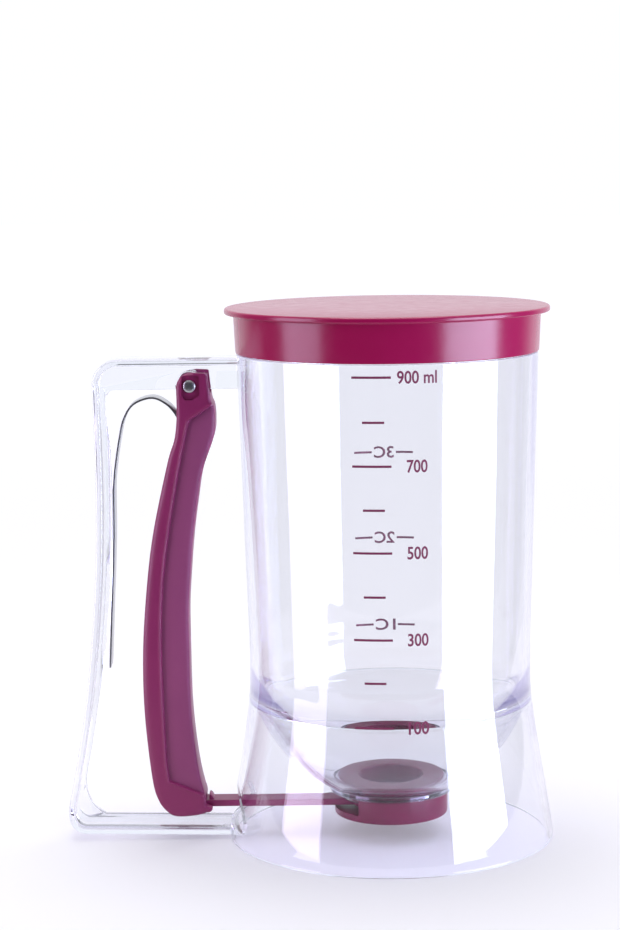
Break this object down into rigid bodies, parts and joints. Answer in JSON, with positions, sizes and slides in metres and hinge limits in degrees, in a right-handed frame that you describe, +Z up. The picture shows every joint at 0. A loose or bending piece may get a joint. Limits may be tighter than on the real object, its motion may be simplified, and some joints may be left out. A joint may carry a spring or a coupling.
{
  "type": "pancake batter dispenser",
  "caption": "Clear measuring pitcher on a flared skirt with a lift-off lid and a sprung trigger lever in its handle that slides a gate valve open under the bowl.",
  "frame": {"origin": "on the pitcher's axis, in the plane the foot stands on", "axes": "+Z up along the pitcher's axis, the handle points along -X, +Y across the handle"},
  "size_m": [0.1648, 0.1106, 0.1801],
  "materials": {
    "clear": "clear polished styrene, slightly blue in the thick edges",
    "magenta": "satin-gloss magenta moulding",
    "steel": "cold-rolled spring steel, lightly brushed",
    "silicone": "matt translucent silicone"
  },
  "bodies": {
    "pitcher": {"pitcher_wall": "clear", "pitcher_bowl": "clear", "base_skirt": "clear", "handle_top_arm": "clear", "handle_grip": "clear", "handle_bottom_arm": "clear", "pivot_pin": "steel", "return_spring": "steel", "valve_seat": "magenta", "seat_gasket": "silicone", "valve_housing": "magenta"},
    "lid": {"lid": "magenta"},
    "lever": {"trigger_lever": "magenta"},
    "rod": {"pull_rod": "magenta"}
  },
  "joints": [
    {"name": "lid_lift", "type": "slide", "parent": "pitcher", "child": "lid", "axis": [0, 0, 1], "range_m": [0, 0.03]},
    {"name": "lever_pivot", "type": "hinge", "parent": "pitcher", "child": "lever", "pos_m": [-0.0659, 0, 0.1547], "axis": [0, 1, 0], "range_deg": [0, 7.2], "stiffness_Nm_per_rad": 1.2, "springref_deg": -4.58, "deforming": ["return_spring"]},
    {"name": "rod_slide", "type": "slide", "parent": "pitcher", "child": "rod", "axis": [-1, 0, 0], "range_m": [0, 0.018]}
  ],
  "couplings": [
    {"joint": "rod_slide", "follows": "lever_pivot", "m_per_rad": 0.1431}
  ]
}
